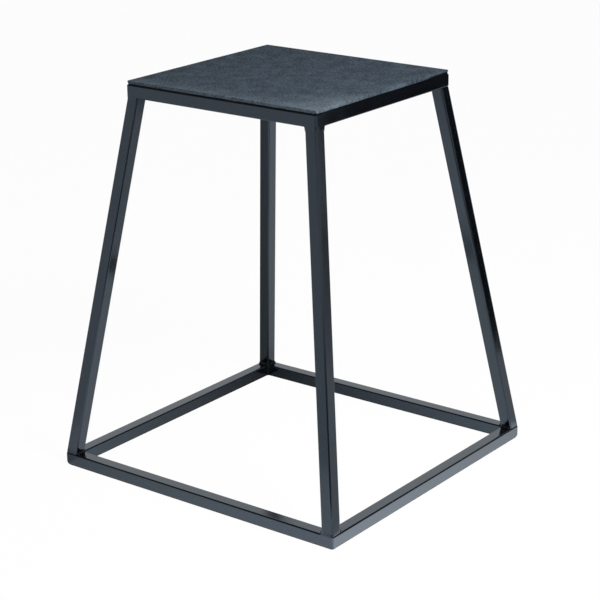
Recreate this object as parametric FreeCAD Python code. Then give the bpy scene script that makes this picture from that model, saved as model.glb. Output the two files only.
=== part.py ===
import FreeCAD, Part
import math
import os
from collections import namedtuple

# Plyo box: a truncated pyramid of welded square steel tube. Its legs lean in from a wide base frame
# to a smaller top frame, which carries a steel deck plate with a rubber mat glued to it.
# +Z is up, and the origin is on the floor under the middle of the box.
# X runs along the longer sides, and the front faces -Y. All sizes are in millimetres.

# Outside sizes
overall_height = 762.0
base_length = 654.0
base_width = 632.0
top_length = 441.0
top_width = 419.0

# Square tube of the rails and legs
tube_size = 25.0
tube_wall = 2.0
tube_edge_radius = 3.0
bore_edge_radius = 1.0

# Frame corners are ground round, and the legs stand back from the frames' outer faces
frame_corner_radius = 4.0
leg_setback = 1.2

# Deck plate on the top rails, with its edge on the rails' rounded edges
deck_thickness = 3.0
deck_inset = 2.5
deck_corner_radius = 1.5

# Rubber mat, which hangs a little over the plate's edge
mat_thickness = 4.0
mat_inset = 2.0
mat_corner_radius = 1.5

# Weld beads: the hollow is where a bead's concave face passes between its corner and its two toes
leg_weld_size = 6.0
corner_weld_size = 4.0
stitch_weld_bite = 2.0
stitch_length = 30.0
stitches_per_side = 2
bead_hollow = 0.4

# Levels and lengths that follow from the sizes
foot_level = tube_size
frame_top = overall_height - deck_thickness - mat_thickness
head_level = frame_top - tube_size
leg_height = head_level - foot_level
bore_size = tube_size - 2 * tube_wall
rail_flat = tube_size - 2 * tube_edge_radius

UP = FreeCAD.Vector(0, 0, 1)
SIDE_TURNS = {"front": 0, "right": 90, "back": 180, "left": 270}
Leg = namedtuple("Leg", "side_x side_y foot head")


def rounded_bar(length, width, height, radius):
    """Upright bar centred on the Z axis, standing on z = 0, with its upright edges rounded."""
    bar = Part.makeBox(length, width, height, FreeCAD.Vector(-length / 2, -width / 2, 0))
    upright = [edge for edge in bar.Edges if edge.tangentAt(edge.FirstParameter).cross(UP).Length < 0.5]
    return bar.makeFillet(radius, upright)


def tube_outside(length):
    """Outside form of the tube, filled, standing on z = 0."""
    return rounded_bar(tube_size, tube_size, length, tube_edge_radius)


def tube(length):
    """Hollow square tube, standing on z = 0."""
    return tube_outside(length).cut(rounded_bar(bore_size, bore_size, length, bore_edge_radius))


def lay_along_x(bar, length):
    """Lay an upright bar along X: centred on x = 0, its outer face on y = 0 and its underside on z = 0."""
    turned = FreeCAD.Rotation(FreeCAD.Vector(0, 1, 0), 90)
    corner = FreeCAD.Vector(-length / 2, tube_size / 2, tube_size / 2)
    bar.Placement = FreeCAD.Placement(corner, turned)
    return bar


def to_side(shape, side, frame_length, frame_width, level):
    """Carry a shape that is drawn with its outer face on y = 0 out to one side of a frame."""
    depth = frame_width if side in ("front", "back") else frame_length
    shape.translate(FreeCAD.Vector(0, -depth / 2, level))
    shape.rotate(FreeCAD.Vector(0, 0, 0), UP, SIDE_TURNS[side])
    return shape


def side_run(side, frame_length, frame_width):
    """Outside length of a frame's rail on one side."""
    return frame_length if side in ("front", "back") else frame_width


def mitred_plan(run):
    """Plan of a rail with mitred ends, whose two outer tips are halves of the ground frame corners."""
    half = run / 2
    inner_half = half - tube_size
    straight_half = half - frame_corner_radius
    eighth_turn = math.radians(45)

    def corner_point(side, angle):
        across = straight_half + frame_corner_radius * math.sin(angle)
        return FreeCAD.Vector(side * across, frame_corner_radius * (1 - math.cos(angle)), 0)

    def corner_arc(side):
        points = [corner_point(side, angle) for angle in (0, eighth_turn / 2, eighth_turn)]
        return Part.Arc(*points).toShape()

    inner_right = FreeCAD.Vector(inner_half, tube_size, 0)
    inner_left = FreeCAD.Vector(-inner_half, tube_size, 0)
    edges = [
        Part.makeLine(corner_point(-1, 0), corner_point(1, 0)),
        corner_arc(1),
        Part.makeLine(corner_point(1, eighth_turn), inner_right),
        Part.makeLine(inner_right, inner_left),
        Part.makeLine(inner_left, corner_point(-1, eighth_turn)),
        corner_arc(-1),
    ]
    return Part.Face(Part.Wire(Part.__sortEdges__(edges)))


def mitred_rail(run):
    """Rail of a frame: a tube cut to its mitred plan, with its outer face on y = 0."""
    plan = mitred_plan(run).extrude(UP * tube_size)
    return lay_along_x(tube(run), run).common(plan)


def frame_rails(frame_name, frame_length, frame_width, level):
    """The four mitred rails of a frame, by node name."""
    rails = {}
    for side in SIDE_TURNS:
        rail = mitred_rail(side_run(side, frame_length, frame_width))
        rails[f"{frame_name}_rail_{side}"] = to_side(rail, side, frame_length, frame_width, level)
    return rails


def leg_lines():
    """Centre line of each leg, from the base rails' tops to the top rails' undersides, by corner."""
    back_from_face = leg_setback + tube_size / 2
    legs = {}
    for row, side_y in (("front", -1), ("back", 1)):
        for column, side_x in (("left", -1), ("right", 1)):
            foot_x = side_x * (base_length / 2 - back_from_face)
            foot_y = side_y * (base_width / 2 - back_from_face)
            head_x = side_x * (top_length / 2 - back_from_face)
            head_y = side_y * (top_width / 2 - back_from_face)
            foot = FreeCAD.Vector(foot_x, foot_y, foot_level)
            head = FreeCAD.Vector(head_x, head_y, head_level)
            legs[f"{row}_{column}"] = Leg(side_x, side_y, foot, head)
    return legs


def along_leg(make_bar, leg):
    """Set a bar on a leg's line, turned the least way from upright and long enough to cut both ends."""
    direction = leg.head - leg.foot
    direction.normalize()
    spare = tube_size
    bar = make_bar(leg.foot.distanceToPoint(leg.head) + 2 * spare)
    bar.Placement = FreeCAD.Placement(leg.foot - direction * spare, FreeCAD.Rotation(UP, direction))
    return bar


def leg_tube(leg):
    """Leg whose two ends are cut level, to butt on the base rails and under the top rails."""
    length = max(base_length, top_length)
    width = max(base_width, top_width)
    between = Part.makeBox(length, width, leg_height, FreeCAD.Vector(-length / 2, -width / 2, foot_level))
    return along_leg(tube, leg).common(between)


def weld_bead(root, corner, toe, heel, run):
    """Bead of weld along a run, with a concave face from its toe to its heel and its back at the root."""
    hollow = corner + (toe - corner + heel - corner) * bead_hollow
    section = Part.Wire([
        Part.makeLine(root, toe),
        Part.Arc(toe, hollow, heel).toShape(),
        Part.makeLine(heel, root),
    ])
    return Part.Face(section).extrude(run)


def leg_welds(leg, joint, frame_length, frame_width, away):
    """Beads on a leg's two inner faces where it meets the rails: away is 1 at its foot and -1 at its head."""
    lean = (leg.head - leg.foot) / leg_height
    start_x = leg.side_x * (frame_length / 2 - tube_edge_radius)
    start_y = leg.side_y * (frame_width / 2 - tube_edge_radius)
    along_x = FreeCAD.Vector(-leg.side_x, 0, 0)
    along_y = FreeCAD.Vector(0, -leg.side_y, 0)
    beads = []
    for root, inward, run in (
        (FreeCAD.Vector(joint.x, start_y, joint.z), along_x, along_y),
        (FreeCAD.Vector(start_x, joint.y, joint.z), along_y, along_x),
    ):
        corner = root + inward * (tube_size / 2)
        toe = corner + inward * leg_weld_size
        heel = corner + (UP + inward * inward.dot(lean)) * (away * leg_weld_size)
        bead = weld_bead(root, corner, toe, heel, run * rail_flat)
        beads.append(bead.cut(along_leg(tube_outside, leg)))
    return Part.makeCompound(beads)


def corner_welds(frame_length, frame_width, level):
    """Upright beads in the four inside corners of a mitred frame, over the flats of its rails."""
    beads = []
    for side_x in (-1, 1):
        for side_y in (-1, 1):
            corner_x = side_x * (frame_length / 2 - tube_size)
            corner_y = side_y * (frame_width / 2 - tube_size)
            corner = FreeCAD.Vector(corner_x, corner_y, level + tube_edge_radius)
            toe = corner - FreeCAD.Vector(side_x * corner_weld_size, 0, 0)
            heel = corner - FreeCAD.Vector(0, side_y * corner_weld_size, 0)
            beads.append(weld_bead(corner, corner, toe, heel, UP * rail_flat))
    return Part.makeCompound(beads)


def stitch_weld(place, run):
    """Short bead under the deck plate, on a rail's inner face, drawn with the rail's outer face on y = 0."""
    size = tube_edge_radius + stitch_weld_bite
    corner = FreeCAD.Vector(place - stitch_length / 2, tube_size, tube_size)
    root = corner - FreeCAD.Vector(0, tube_edge_radius / 2, 0)
    toe = corner + FreeCAD.Vector(0, size, 0)
    heel = corner - FreeCAD.Vector(0, 0, size)
    bead = weld_bead(root, corner, toe, heel, FreeCAD.Vector(stitch_length, 0, 0))
    return bead.cut(lay_along_x(tube_outside(run), run))


def deck_stitch_welds():
    """Stitch welds that hold the deck plate to the top rails, spaced evenly along each side."""
    beads = []
    for side in SIDE_TURNS:
        run = side_run(side, top_length, top_width)
        step = (run - 2 * tube_size) / stitches_per_side
        for index in range(stitches_per_side):
            place = (index - (stitches_per_side - 1) / 2) * step
            bead = stitch_weld(place, run)
            beads.append(to_side(bead, side, top_length, top_width, head_level))
    return Part.makeCompound(beads)


def deck_plate():
    """Steel plate that lies on the top rails."""
    length = top_length - 2 * deck_inset
    width = top_width - 2 * deck_inset
    plate = rounded_bar(length, width, deck_thickness, deck_corner_radius)
    plate.translate(UP * frame_top)
    return plate


def rubber_mat():
    """Rubber sheet that is glued to the deck plate."""
    length = top_length - 2 * mat_inset
    width = top_width - 2 * mat_inset
    mat = rounded_bar(length, width, mat_thickness, mat_corner_radius)
    mat.translate(UP * (frame_top + deck_thickness))
    return mat


def plyo_box():
    """Every piece of the box, by node name."""
    nodes = {}
    nodes.update(frame_rails("base", base_length, base_width, 0))
    nodes.update(frame_rails("top", top_length, top_width, head_level))
    for corner, leg in leg_lines().items():
        nodes[f"leg_{corner}"] = leg_tube(leg)
        nodes[f"foot_welds_{corner}"] = leg_welds(leg, leg.foot, base_length, base_width, 1)
        nodes[f"head_welds_{corner}"] = leg_welds(leg, leg.head, top_length, top_width, -1)
    nodes["base_corner_welds"] = corner_welds(base_length, base_width, 0)
    nodes["top_corner_welds"] = corner_welds(top_length, top_width, head_level)
    nodes["deck_stitch_welds"] = deck_stitch_welds()
    nodes["deck_plate"] = deck_plate()
    nodes["rubber_mat"] = rubber_mat()
    return nodes


os.makedirs("parts", exist_ok=True)
for name, shape in plyo_box().items():
    shape.exportStep(f"parts/{name}.step")
    print(f"{name}: {len(shape.Solids)} solids, {shape.Volume:.0f} mm3, valid {shape.isValid()}")
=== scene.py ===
"""Looks of a plyo box: painted square tube, rippled welds and a grained rubber mat, in a plain studio."""
import logging
import math
from dataclasses import asdict, dataclass, replace
from enum import Enum
from typing import NamedTuple, Sequence, Union

import bmesh
import bpy
from mathutils import Matrix, Vector, noise


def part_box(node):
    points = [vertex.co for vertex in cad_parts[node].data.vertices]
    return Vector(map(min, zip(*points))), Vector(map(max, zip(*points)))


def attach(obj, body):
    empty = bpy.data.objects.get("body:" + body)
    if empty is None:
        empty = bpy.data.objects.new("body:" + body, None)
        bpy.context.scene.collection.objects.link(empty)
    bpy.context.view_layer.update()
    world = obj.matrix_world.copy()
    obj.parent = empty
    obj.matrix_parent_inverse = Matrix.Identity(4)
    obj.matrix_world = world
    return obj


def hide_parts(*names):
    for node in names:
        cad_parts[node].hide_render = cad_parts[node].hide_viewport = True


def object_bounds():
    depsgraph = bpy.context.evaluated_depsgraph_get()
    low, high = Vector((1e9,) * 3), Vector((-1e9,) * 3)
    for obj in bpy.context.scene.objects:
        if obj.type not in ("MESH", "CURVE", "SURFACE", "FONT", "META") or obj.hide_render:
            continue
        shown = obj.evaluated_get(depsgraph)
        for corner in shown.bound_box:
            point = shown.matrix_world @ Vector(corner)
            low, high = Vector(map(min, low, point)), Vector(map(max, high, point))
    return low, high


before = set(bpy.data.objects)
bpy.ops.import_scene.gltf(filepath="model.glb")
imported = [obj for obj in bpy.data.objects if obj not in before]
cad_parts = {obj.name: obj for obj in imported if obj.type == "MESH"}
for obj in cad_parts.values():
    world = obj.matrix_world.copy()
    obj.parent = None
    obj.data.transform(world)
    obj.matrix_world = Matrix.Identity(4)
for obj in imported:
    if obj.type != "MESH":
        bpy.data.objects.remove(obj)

LOG = logging.getLogger("plyo_box")
CAD_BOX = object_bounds()
BODY = "root"
UP = Vector((0.0, 0.0, 1.0))
MM = 0.001

Colour = tuple[float, float, float]
Pair = tuple[float, float]
Point = tuple[float, float, float]
Ring = list[Vector]
Form = bmesh.types.BMesh
Vert = bmesh.types.BMVert
Material = bpy.types.Material
Mesh = bpy.types.Mesh
Socket = bpy.types.NodeSocket
Value = Union[float, Socket]
Inputs = dict[Union[str, int], object]


class Side(Enum):
    """Sides of a frame, by the turn about Z that carries the front side to them, in degrees."""

    FRONT = 0
    RIGHT = 90
    BACK = 180
    LEFT = 270

    @property
    def along_x(self) -> bool:
        """Whether the side runs along X, as the front and the back do."""
        return self in (Side.FRONT, Side.BACK)


class Corner(Enum):
    """Corners of a frame, by the signs of their X and Y."""

    FRONT_LEFT = (-1, -1)
    FRONT_RIGHT = (1, -1)
    BACK_LEFT = (-1, 1)
    BACK_RIGHT = (1, 1)

    def inside(self, size: Vector, inset_x: float, inset_y: float, level: float) -> Vector:
        """Point at a level that lies inside this corner of a frame, by its insets along X and Y."""
        side_x, side_y = self.value
        return Vector((side_x * (size.x / 2 - inset_x), side_y * (size.y / 2 - inset_y), level))


class LegEnd(Enum):
    """Ends of a leg, by the way along Z that a bead there grows from its rail."""

    FOOT = 1
    HEAD = -1


class Slot(Enum):
    """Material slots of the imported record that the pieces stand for."""

    FRAME = "frame_paint"
    WELD = "weld_paint"
    MAT = "mat_rubber"


class NodeBoard:
    """A node tree with short ways to add and feed its nodes.

    A Mix or Random Value node has sockets of the same name for each kind of value, so these go by number.
    """

    MIX_LOW = 6
    MIX_HIGH = 7
    MIXED = 2

    def __init__(self, tree: bpy.types.NodeTree) -> None:
        """Start from an empty tree."""
        self.tree = tree
        self.tree.nodes.clear()

    def add(self, kind: str, inputs: Union[Inputs, None] = None, **settings: object) -> bpy.types.Node:
        """Add a node, set its properties and feed its inputs.

        Args:
            kind: Blender's type name of the node.
            inputs: An output of another node or a plain value for inputs, by their name or number.
            settings: Properties of the node, by name.

        Returns:
            The new node.
        """
        node = self.tree.nodes.new(kind)
        for name, value in settings.items():
            setattr(node, name, value)
        for key, value in (inputs or {}).items():
            if isinstance(value, Socket):
                self.tree.links.new(value, node.inputs[key])
            else:
                node.inputs[key].default_value = value
        return node

    def math(self, operation: str, first: Value, second: Value) -> Socket:
        """Work two numbers out with a Math node."""
        return self.add("ShaderNodeMath", {0: first, 1: second}, operation=operation).outputs[0]

    def vector(self, operation: str, inputs: Inputs, output: Union[str, int] = 0) -> Socket:
        """Work vectors out with a Vector Math node."""
        return self.add("ShaderNodeVectorMath", inputs, operation=operation).outputs[output]

    def parts(self, vector: Socket) -> bpy.types.bpy_prop_collection:
        """Split a vector into its X, Y and Z, by name."""
        return self.add("ShaderNodeSeparateXYZ", {0: vector}).outputs

    def blended(self, first: Socket, second: Socket, share: float) -> Socket:
        """Add two values up: a share of the first, from 0 to 1, and the rest of the second."""
        rest = self.math("MULTIPLY", second, 1.0 - share)
        return self.math("ADD", self.math("MULTIPLY", first, share), rest)

    def mirrored(self, path: bpy.types.Node) -> Socket:
        """Tell from a Light Path node whether a ray is reflected or goes through glass."""
        return self.math("ADD", path.outputs["Is Glossy Ray"], path.outputs["Is Transmission Ray"])

    def noise(self, place: Socket, scale: float, detail: float, rough: float = 0.5) -> Socket:
        """Add a noise from 0 to 1: its grains per metre, its finer octaves and how strong they are."""
        inputs = {"Vector": place, "Scale": scale, "Detail": detail, "Roughness": rough}
        return self.add("ShaderNodeTexNoise", inputs).outputs["Fac"]

    def ranged(self, value: Socket, source: Pair, target: Pair) -> Socket:
        """Map a value from one range to another, clamped."""
        ends = dict(zip(("From Min", "From Max", "To Min", "To Max"), (*source, *target)))
        return self.add("ShaderNodeMapRange", {"Value": value, **ends}).outputs["Result"]

    def tinted(self, share: Socket, low: Union[Colour, Socket], high: Colour) -> Socket:
        """Mix two colours.

        Args:
            share: Share of the second colour.
            low: Colour where the share is 0.
            high: Colour where the share is 1.

        Returns:
            The mixed colour.
        """
        first = low if isinstance(low, Socket) else (*low, 1.0)
        inputs = {"Factor": share, self.MIX_LOW: first, self.MIX_HIGH: (*high, 1.0)}
        return self.add("ShaderNodeMix", inputs, data_type="RGBA").outputs[self.MIXED]

    def bump(self, height: Socket, depth: float, strength: float) -> Socket:
        """Add a bump: its height from 0 to 1, its depth in metres and the share of it that shows."""
        inputs = {"Height": height, "Distance": depth, "Strength": strength}
        return self.add("ShaderNodeBump", inputs).outputs["Normal"]


class Finish:
    """Base of the finishes: starts a material and closes it with one surface shader."""

    NOISE_SPAN = (0.3, 0.7)

    name: str

    def start(self) -> tuple[Material, NodeBoard, Socket]:
        """Start a material whose patterns lie in the box's own space.

        Returns:
            The material, its node board and its object coordinates.
        """
        material = bpy.data.materials.new(self.name)
        material.use_nodes = True
        board = NodeBoard(material.node_tree)
        place = board.add("ShaderNodeTexCoord").outputs["Object"]
        return material, board, place

    @staticmethod
    def close(board: NodeBoard, surface: Socket) -> None:
        """Link a surface to the material's output."""
        board.add("ShaderNodeOutputMaterial", {"Surface": surface})


@dataclass(frozen=True)
class PaintFinish(Finish):
    """Glossy paint on steel, with a slight orange peel and uneven sheen."""

    name: str
    dark: Colour
    light: Colour
    roughness: Pair
    peel_per_metre: float
    peel_depth: float
    mirror_tint: Colour
    mirror_level: float
    refraction: float = 1.55
    clouds_per_metre: float = 9.0
    specks_per_metre: float = 420.0
    cloud_share: float = 0.7
    sheens_per_metre: float = 26.0
    peel_strength: float = 0.5

    def material(self) -> Material:
        """Make the paint's material.

        Returns:
            The new material.
        """
        material, board, place = self.start()
        cloud = board.noise(place, self.clouds_per_metre, detail=3.0)
        speck = board.noise(place, self.specks_per_metre, detail=2.0)
        blend = board.blended(cloud, speck, self.cloud_share)
        sheen = board.noise(place, self.sheens_per_metre, detail=4.0)
        peel = board.noise(place, self.peel_per_metre, detail=1.5)
        shader = board.add("ShaderNodeBsdfPrincipled", {
            "Base Color": board.tinted(blend, self.dark, self.light),
            "Roughness": board.ranged(sheen, self.NOISE_SPAN, self.roughness),
            "Normal": board.bump(peel, self.peel_depth, self.peel_strength),
            "IOR": self.refraction,
            "Specular IOR Level": self.mirror_level,
            "Specular Tint": (*self.mirror_tint, 1.0),
        })
        self.close(board, shader.outputs["BSDF"])
        return material


@dataclass(frozen=True)
class RubberFinish(Finish):
    """Matt rubber with a coarse grain, light specks, and a lighter rim and corner spot that are partly
    scuffs and partly a painted highlight.
    """

    name: str
    dark: Colour
    light: Colour
    # Lighter colour of the rim and of a spot near the front right corner: partly scuffs, partly a painted
    # highlight.
    highlight_and_scuff_colour: Colour
    grain_per_metre: float
    grain_depth: float
    roughness: Pair
    mirror_level: float
    half_size: Pair
    rim_width: float
    # Middle of the lighter spot, which is partly scuffs and partly a painted highlight.
    highlight_and_wear_spot: Point
    corner_reach: float
    mottles_per_metre: float = 34.0
    mottle_share: float = 0.35
    contrast_span: Pair = (0.41, 0.59)
    grain_strength: float = 0.8
    # Strength of the lighter rim and spot, which are partly scuffs and partly a painted highlight.
    rim_highlight_and_wear: float = 0.42
    spot_highlight_and_wear: float = 0.65
    rim_fade: Pair = (0.2, 0.8)
    patch_span: Pair = (0.35, 0.6)
    # Range by which the patches break up the scuffs and the painted highlight.
    patch_highlight_and_wear: Pair = (0.4, 1.15)

    def rim(self, board: NodeBoard, place: Socket) -> Socket:
        """Tell how near a point is to the front edge, and half as strongly to the front of the right edge.

        Args:
            board: The material's node board.
            place: Its object coordinates.

        Returns:
            1 at the edge, falling to 0 inside it.
        """
        split = board.parts(place)
        half_length, half_width = self.half_size
        fade_start, fade_end = (share * half_width for share in self.rim_fade)
        faded = board.ranged(split["Y"], (fade_start, fade_end), (0.0, self.rim_width))
        from_right = board.math("SUBTRACT", half_length + self.rim_width / 2, split["X"])
        from_front = board.math("ADD", half_width, split["Y"])
        nearest = board.math("MINIMUM", board.math("ADD", from_right, faded), from_front)
        return board.ranged(nearest, (0.0, self.rim_width), (1.0, 0.0))

    def highlight_and_scuff_share(self, board: NodeBoard, place: Socket, mottle: Socket) -> Socket:
        """Tell how far the rubber is lightened along its rim and round a spot near its front right corner:
        partly scuffs, partly a painted highlight.

        Args:
            board: The material's node board.
            place: Its object coordinates.
            mottle: Uneven patches that break the scuffs and the painted highlight up.

        Returns:
            The share of the lighter colour of scuffs and painted highlight.
        """
        away = board.vector("DISTANCE", {0: place, 1: self.highlight_and_wear_spot}, "Value")
        corner = board.ranged(away, (0.0, self.corner_reach), (self.spot_highlight_and_wear, 0.0))
        rim = board.math("MULTIPLY", self.rim(board, place), self.rim_highlight_and_wear)
        patches = board.ranged(mottle, self.patch_span, self.patch_highlight_and_wear)
        broken = board.math("MULTIPLY", board.math("ADD", rim, corner), patches)
        return board.math("MINIMUM", broken, 1.0)

    def material(self) -> Material:
        """Make the rubber's material.

        Returns:
            The new material.
        """
        material, board, place = self.start()
        mottle = board.noise(place, self.mottles_per_metre, detail=5.0, rough=0.62)
        grain = board.noise(place, self.grain_per_metre, detail=3.0, rough=0.65)
        blend = board.blended(mottle, grain, self.mottle_share)
        share = board.ranged(blend, self.contrast_span, (0.0, 1.0))
        rubber = board.tinted(share, self.dark, self.light)
        # The base colour is lighter at the rim and the spot: partly scuffs, partly a painted highlight.
        shader = board.add("ShaderNodeBsdfPrincipled", {
            "Base Color": board.tinted(self.highlight_and_scuff_share(board, place, blend), rubber, self.highlight_and_scuff_colour),
            "Roughness": board.ranged(mottle, self.NOISE_SPAN, self.roughness),
            "Normal": board.bump(grain, self.grain_depth, self.grain_strength),
            "Specular IOR Level": self.mirror_level,
        })
        self.close(board, shader.outputs["BSDF"])
        return material


@dataclass(frozen=True)
class BackdropFinish(Finish):
    """Pale studio floor and cove: white where it is seen, and a lit floor and wall in reflections."""

    name: str
    colour: Colour
    camera_share: float
    floor_glow: float
    wall_glow: float
    dim_glow: float
    wall_heights: Pair
    bright_way: Pair
    sector_edge: Pair = (0.3, 0.65)

    def glow(self, board: NodeBoard, place: Socket) -> Socket:
        """Grade what reflections see: an even floor, and a wall that is lit on one side of the room.

        Args:
            board: The material's node board.
            place: Its object coordinates.

        Returns:
            The brightness in reflections.
        """
        outward = board.vector("NORMALIZE", {0: place})
        facing = board.vector("DOT_PRODUCT", {0: outward, 1: (*self.bright_way, 0.0)}, "Value")
        sector = board.ranged(facing, self.sector_edge, (self.dim_glow, self.wall_glow))
        up = board.ranged(board.parts(place)["Z"], self.wall_heights, (0.0, 1.0))
        floor = board.math("MULTIPLY", board.math("SUBTRACT", 1.0, up), self.floor_glow)
        return board.math("ADD", floor, board.math("MULTIPLY", sector, up))

    def material(self) -> Material:
        """Make the backdrop's material.

        Returns:
            The new material.
        """
        material, board, place = self.start()
        path = board.add("ShaderNodeLightPath")
        camera = path.outputs["Is Camera Ray"]
        mirrored = board.mirrored(path)
        diffuse = board.add("ShaderNodeBsdfDiffuse", {"Color": (*self.colour, 1.0)})
        shown = board.math("ADD", camera, board.math("MULTIPLY", mirrored, self.glow(board, place)))
        white = board.add("ShaderNodeEmission", {"Strength": shown})
        share = board.math("ADD", board.math("MULTIPLY", camera, self.camera_share), mirrored)
        clipped = board.math("MINIMUM", share, 1.0)
        mixed = board.add("ShaderNodeMixShader", {0: clipped, 1: diffuse.outputs[0], 2: white.outputs[0]})
        self.close(board, mixed.outputs[0])
        return material


@dataclass(frozen=True)
class CardFinish(Finish):
    """Grey of the studio's cards, graded by what each card keeps at its corners."""

    name: str
    attribute: str

    def material(self) -> Material:
        """Make the cards' material.

        Returns:
            The new material.
        """
        material, board, _ = self.start()
        grey = board.add("ShaderNodeAttribute", attribute_name=self.attribute)
        shown = board.add("ShaderNodeEmission", {"Strength": grey.outputs["Fac"]})
        self.close(board, shown.outputs[0])
        return material


FRAME_PAINT = PaintFinish(
    name="graphite_gloss_paint",
    dark=(0.0018, 0.0021, 0.0029),
    light=(0.0038, 0.0046, 0.0062),
    roughness=(0.10, 0.18),
    peel_per_metre=620.0,
    peel_depth=0.04 * MM,
    mirror_tint=(0.61, 0.79, 1.0),
    mirror_level=1.0,
)
SMOOTH_WELD_PAINT = replace(
    FRAME_PAINT,
    name="paint_over_smooth_weld",
    roughness=(0.16, 0.26),
    peel_per_metre=700.0,
    peel_depth=0.05 * MM,
)
WELD_PAINT = PaintFinish(
    name="paint_over_weld",
    dark=(0.0025, 0.0028, 0.0034),
    light=(0.006, 0.0066, 0.008),
    roughness=(0.30, 0.5),
    peel_per_metre=900.0,
    peel_depth=0.12 * MM,
    mirror_tint=(0.78, 0.9, 1.0),
    mirror_level=0.35,
)
DECK_PAINT = PaintFinish(
    name="satin_deck_paint",
    dark=(0.002, 0.0023, 0.0028),
    light=(0.004, 0.0045, 0.0054),
    roughness=(0.45, 0.6),
    peel_per_metre=500.0,
    peel_depth=0.06 * MM,
    mirror_tint=(0.8, 0.9, 1.0),
    mirror_level=0.05,
)
MAT_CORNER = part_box("rubber_mat")[1]
MAT_RUBBER = RubberFinish(
    name="grained_mat_rubber",
    dark=(0.0135, 0.0198, 0.029),
    light=(0.064, 0.0862, 0.1105),
    # Lighter colour of the rim and of a spot near the front right corner: partly scuffs, partly a painted
    # highlight.
    highlight_and_scuff_colour=(0.117, 0.147, 0.172),
    grain_per_metre=240.0,
    grain_depth=0.5 * MM,
    roughness=(0.74, 0.88),
    mirror_level=0.1,
    half_size=(MAT_CORNER.x, MAT_CORNER.y),
    rim_width=42.0 * MM,
    # Middle of that spot, partly scuffs and partly a painted highlight.
    highlight_and_wear_spot=(MAT_CORNER.x, -150.0 * MM, MAT_CORNER.z),
    corner_reach=100.0 * MM,
)
BACKDROP = BackdropFinish(
    name="pale_backdrop",
    colour=(0.92, 0.92, 0.92),
    camera_share=0.97,
    floor_glow=0.56,
    wall_glow=0.84,
    dim_glow=0.03,
    wall_heights=(0.8, 1.8),
    bright_way=(-0.6, 0.8),
)
CARDS = CardFinish(name="studio_card", attribute="grey")


@dataclass(frozen=True)
class BoxSizes:
    """Main sizes of the box in metres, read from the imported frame."""

    base: Vector
    top: Vector
    tube: float
    head_level: float
    frame_top: float

    @classmethod
    def from_frame(cls) -> "BoxSizes":
        """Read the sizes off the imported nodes.

        Returns:
            The sizes of the box.
        """
        base_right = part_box("base_rail_right")[1]
        base_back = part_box("base_rail_back")[1]
        top_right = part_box("top_rail_right")
        top_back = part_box("top_rail_back")[1]
        base = Vector((2 * base_right.x, 2 * base_back.y))
        top = Vector((2 * top_right[1].x, 2 * top_back.y))
        return cls(base, top, base_right.z, top_right[0].z, top_right[1].z)


@dataclass(frozen=True)
class TubeSection:
    """Section of the square tube in metres, with the number of steps in each rounded edge."""

    size: float
    wall: float = 2.0 * MM
    edge_radius: float = 3.0 * MM
    bore_radius: float = 1.0 * MM
    hold: float = 0.3 * MM
    arc_steps: int = 6

    def outline(self, size: float, radius: float) -> list[Vector]:
        """Trace a rounded square, with a holding point beside each rounded edge.

        Args:
            size: Width of the square.
            radius: Radius of its corners.

        Returns:
            Points round the square, against the clock.
        """
        points = []
        for quarter in range(4):
            start = math.radians(90 * quarter)
            middle = start + math.radians(45)
            reach = (size / 2 - radius) * math.sqrt(2)
            centre = Vector((math.cos(middle), math.sin(middle))) * reach
            angles = [start + math.radians(90) * step / self.arc_steps for step in range(self.arc_steps + 1)]
            arc = [centre + Vector((math.cos(angle), math.sin(angle))) * radius for angle in angles]
            before = arc[0] - Vector((-math.sin(angles[0]), math.cos(angles[0]))) * self.hold
            after = arc[-1] + Vector((-math.sin(angles[-1]), math.cos(angles[-1]))) * self.hold
            points += [before, *arc, after]
        return points

    def outside(self, shrink: float = 0.0) -> list[Vector]:
        """Outline of the tube, drawn in by a shrink."""
        return self.outline(self.size - 2 * shrink, self.edge_radius - shrink)

    def bore(self) -> list[Vector]:
        """Outline of the tube's bore."""
        return self.outline(self.size - 2 * self.wall, self.bore_radius)


def add_piece(name: str, mesh: Mesh, material: Material, slot: Slot, *nodes: str) -> None:
    """Put a finished mesh into the scene as a piece of the box.

    Args:
        name: Name of the piece.
        mesh: Its mesh, in place.
        material: Its finish.
        slot: The record's slot that the finish stands for; it is not used.
        nodes: Nodes of the frame that the piece replaces.
    """
    piece = bpy.data.objects.new(name, mesh)
    bpy.context.scene.collection.objects.link(piece)
    mesh.materials.clear()
    mesh.materials.append(material)
    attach(piece, BODY)
    if nodes:
        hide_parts(*nodes)
    LOG.info("%s: %d faces", name, len(mesh.polygons))


def add_stage(name: str, mesh: Mesh, material: Material) -> bpy.types.Object:
    """Put a finished mesh into the scene as a thing of the studio.

    Args:
        name: Name of the thing.
        mesh: Its mesh, in place.
        material: Its finish.

    Returns:
        The new thing.
    """
    mesh.materials.append(material)
    thing = bpy.data.objects.new(name, mesh)
    bpy.context.scene.collection.objects.link(thing)
    return thing


def bridge(form: Form, rows: Sequence[Sequence[Vert]], capped: bool = False) -> None:
    """Join closed rows of points with faces, each row to the next.

    Args:
        form: The mesh that holds the points.
        rows: Rows with the same number of points.
        capped: Whether the first and the last row are closed with a face.
    """
    for low, high in zip(rows, rows[1:]):
        for index in range(len(low)):
            after = (index + 1) % len(low)
            form.faces.new((low[index], low[after], high[after], high[index]))
    if capped:
        form.faces.new(rows[0])
        form.faces.new(rows[-1])


def smooth_faces(form: Form) -> None:
    """Shade all the faces smooth that a form has so far."""
    for face in form.faces:
        face.smooth = True


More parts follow.
